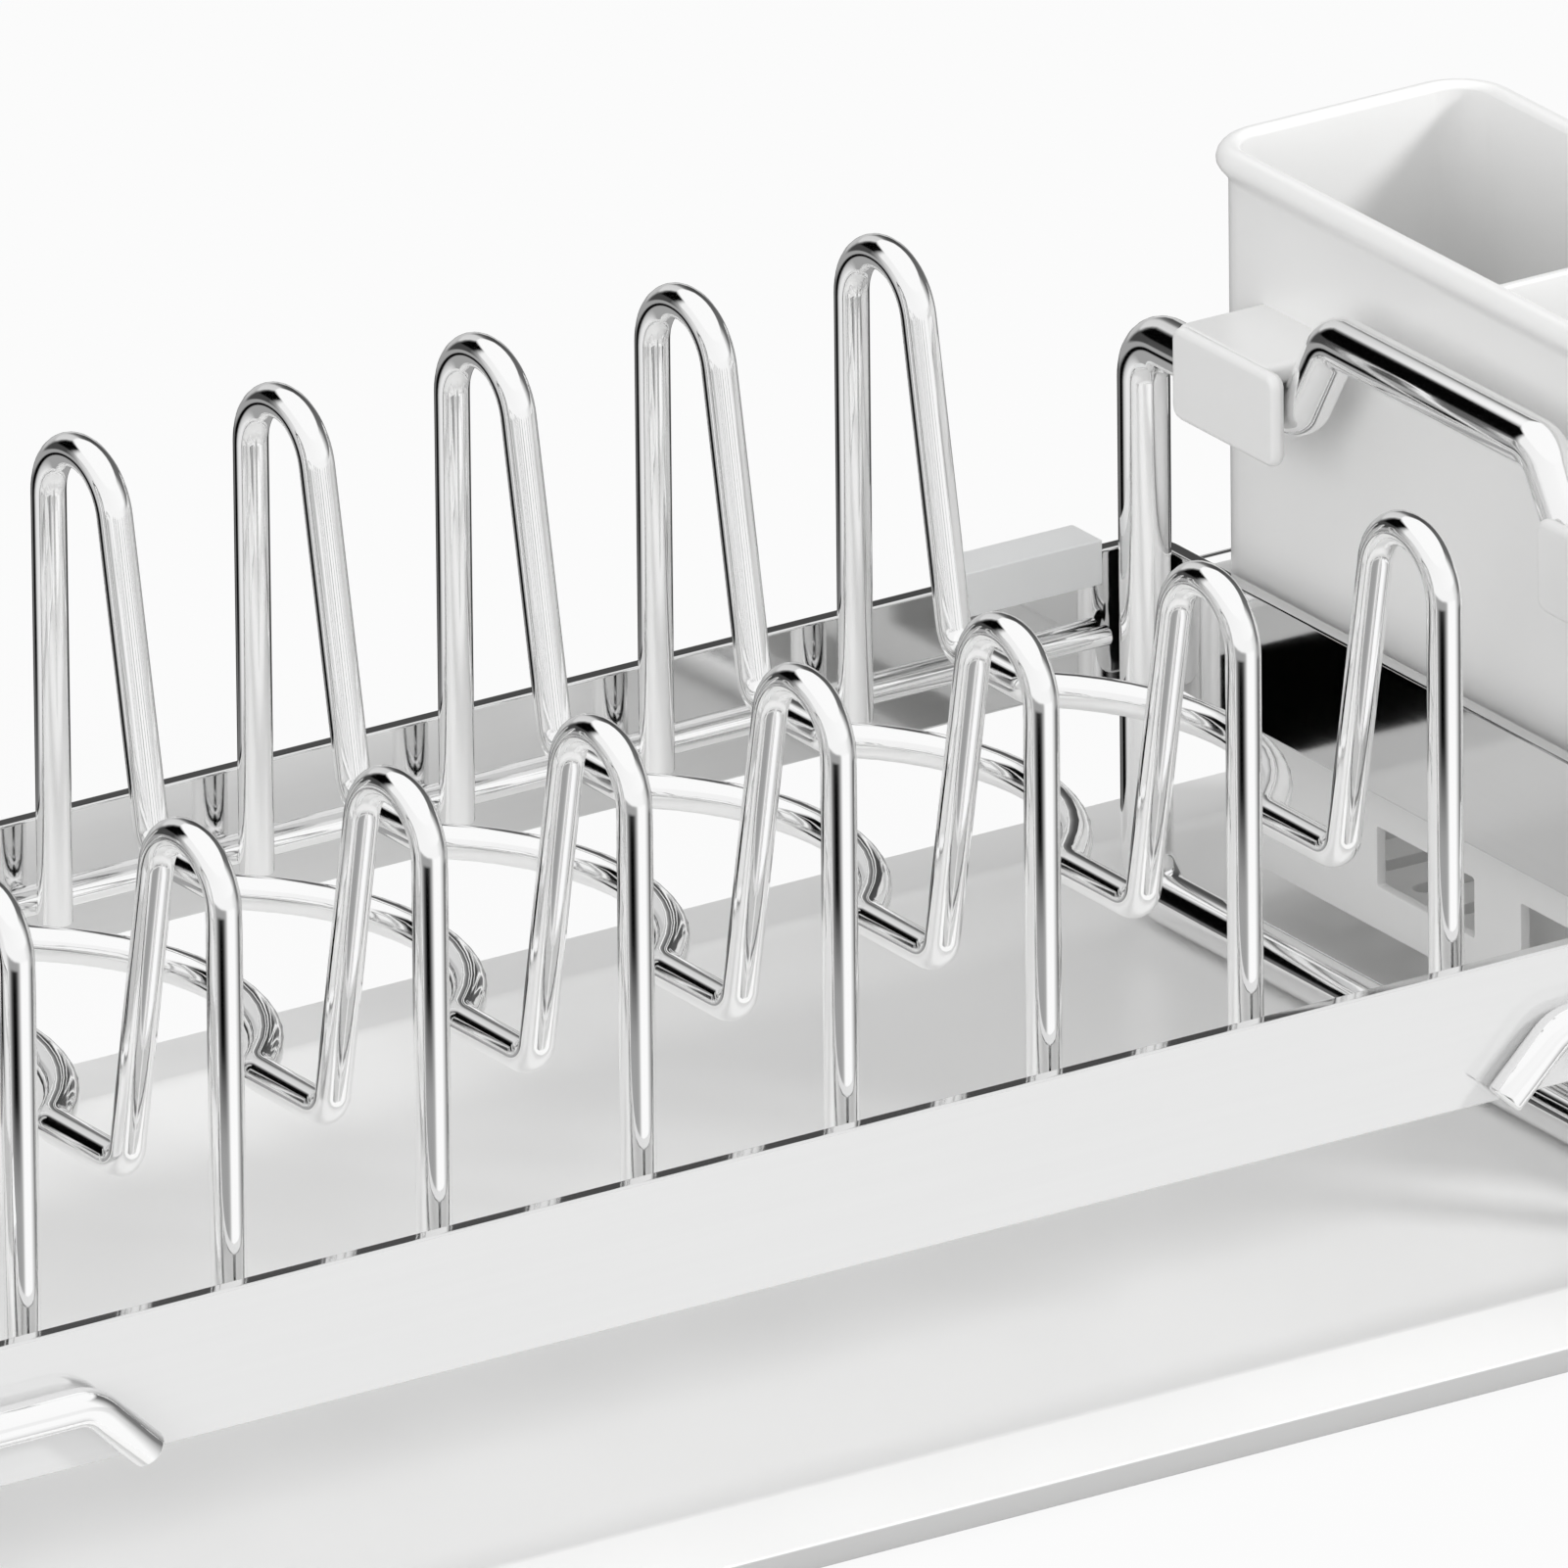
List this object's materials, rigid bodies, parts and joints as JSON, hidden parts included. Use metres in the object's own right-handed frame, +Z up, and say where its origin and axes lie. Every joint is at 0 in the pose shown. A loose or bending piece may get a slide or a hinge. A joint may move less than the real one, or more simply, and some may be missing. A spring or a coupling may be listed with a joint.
{
  "type": "over-sink dish rack",
  "caption": "Steel wire dish rack with a rim band, bent dividers, sliding support arms, a hung cutlery holder and a drip tray.",
  "frame": {"origin": "middle of the drip tray's flat underside", "axes": "+X along the rack to the cutlery holder's end, +Y to the rear long side, +Z up"},
  "size_m": [0.6035, 0.248, 0.1411],
  "materials": {
    "bright_steel": "bright polished stainless rod",
    "satin_steel": "satin stainless strip",
    "white_plastic": "smooth white moulded plastic",
    "clip_plastic": "milky white moulded plastic"
  },
  "bodies": {
    "tray": {"drip_tray": "white_plastic"},
    "rack": {"rim_band": "satin_steel", "long_wire_front": "bright_steel", "long_wire_rear": "bright_steel", "divider_wire_1": "bright_steel", "divider_wire_2": "bright_steel", "divider_wire_3": "bright_steel", "divider_wire_4": "bright_steel", "divider_wire_5": "bright_steel", "divider_wire_6": "bright_steel", "divider_wire_7": "bright_steel", "divider_wire_8": "bright_steel", "end_frame_right": "bright_steel", "end_frame_left": "bright_steel", "clip_rear_right": "clip_plastic", "clip_front_right": "clip_plastic", "clip_rear_left": "clip_plastic", "clip_front_left": "clip_plastic"},
    "arm_right": {"support_arm_right": "bright_steel"},
    "arm_left": {"support_arm_left": "bright_steel"},
    "holder": {"cutlery_holder": "white_plastic"}
  },
  "joints": [
    {"name": "rack_lift", "type": "slide", "parent": "tray", "child": "rack", "axis": [0, 0, 1], "range_m": [0, 0.12]},
    {"name": "holder_lift", "type": "slide", "parent": "rack", "child": "holder", "axis": [0, 0, 1], "range_m": [0, 0.06]},
    {"name": "arm_right_slide", "type": "slide", "parent": "rack", "child": "arm_right", "axis": [1, 0, 0], "range_m": [-0.034, 0.008]},
    {"name": "arm_left_slide", "type": "slide", "parent": "rack", "child": "arm_left", "axis": [-1, 0, 0], "range_m": [-0.076, 0.025]}
  ]
}
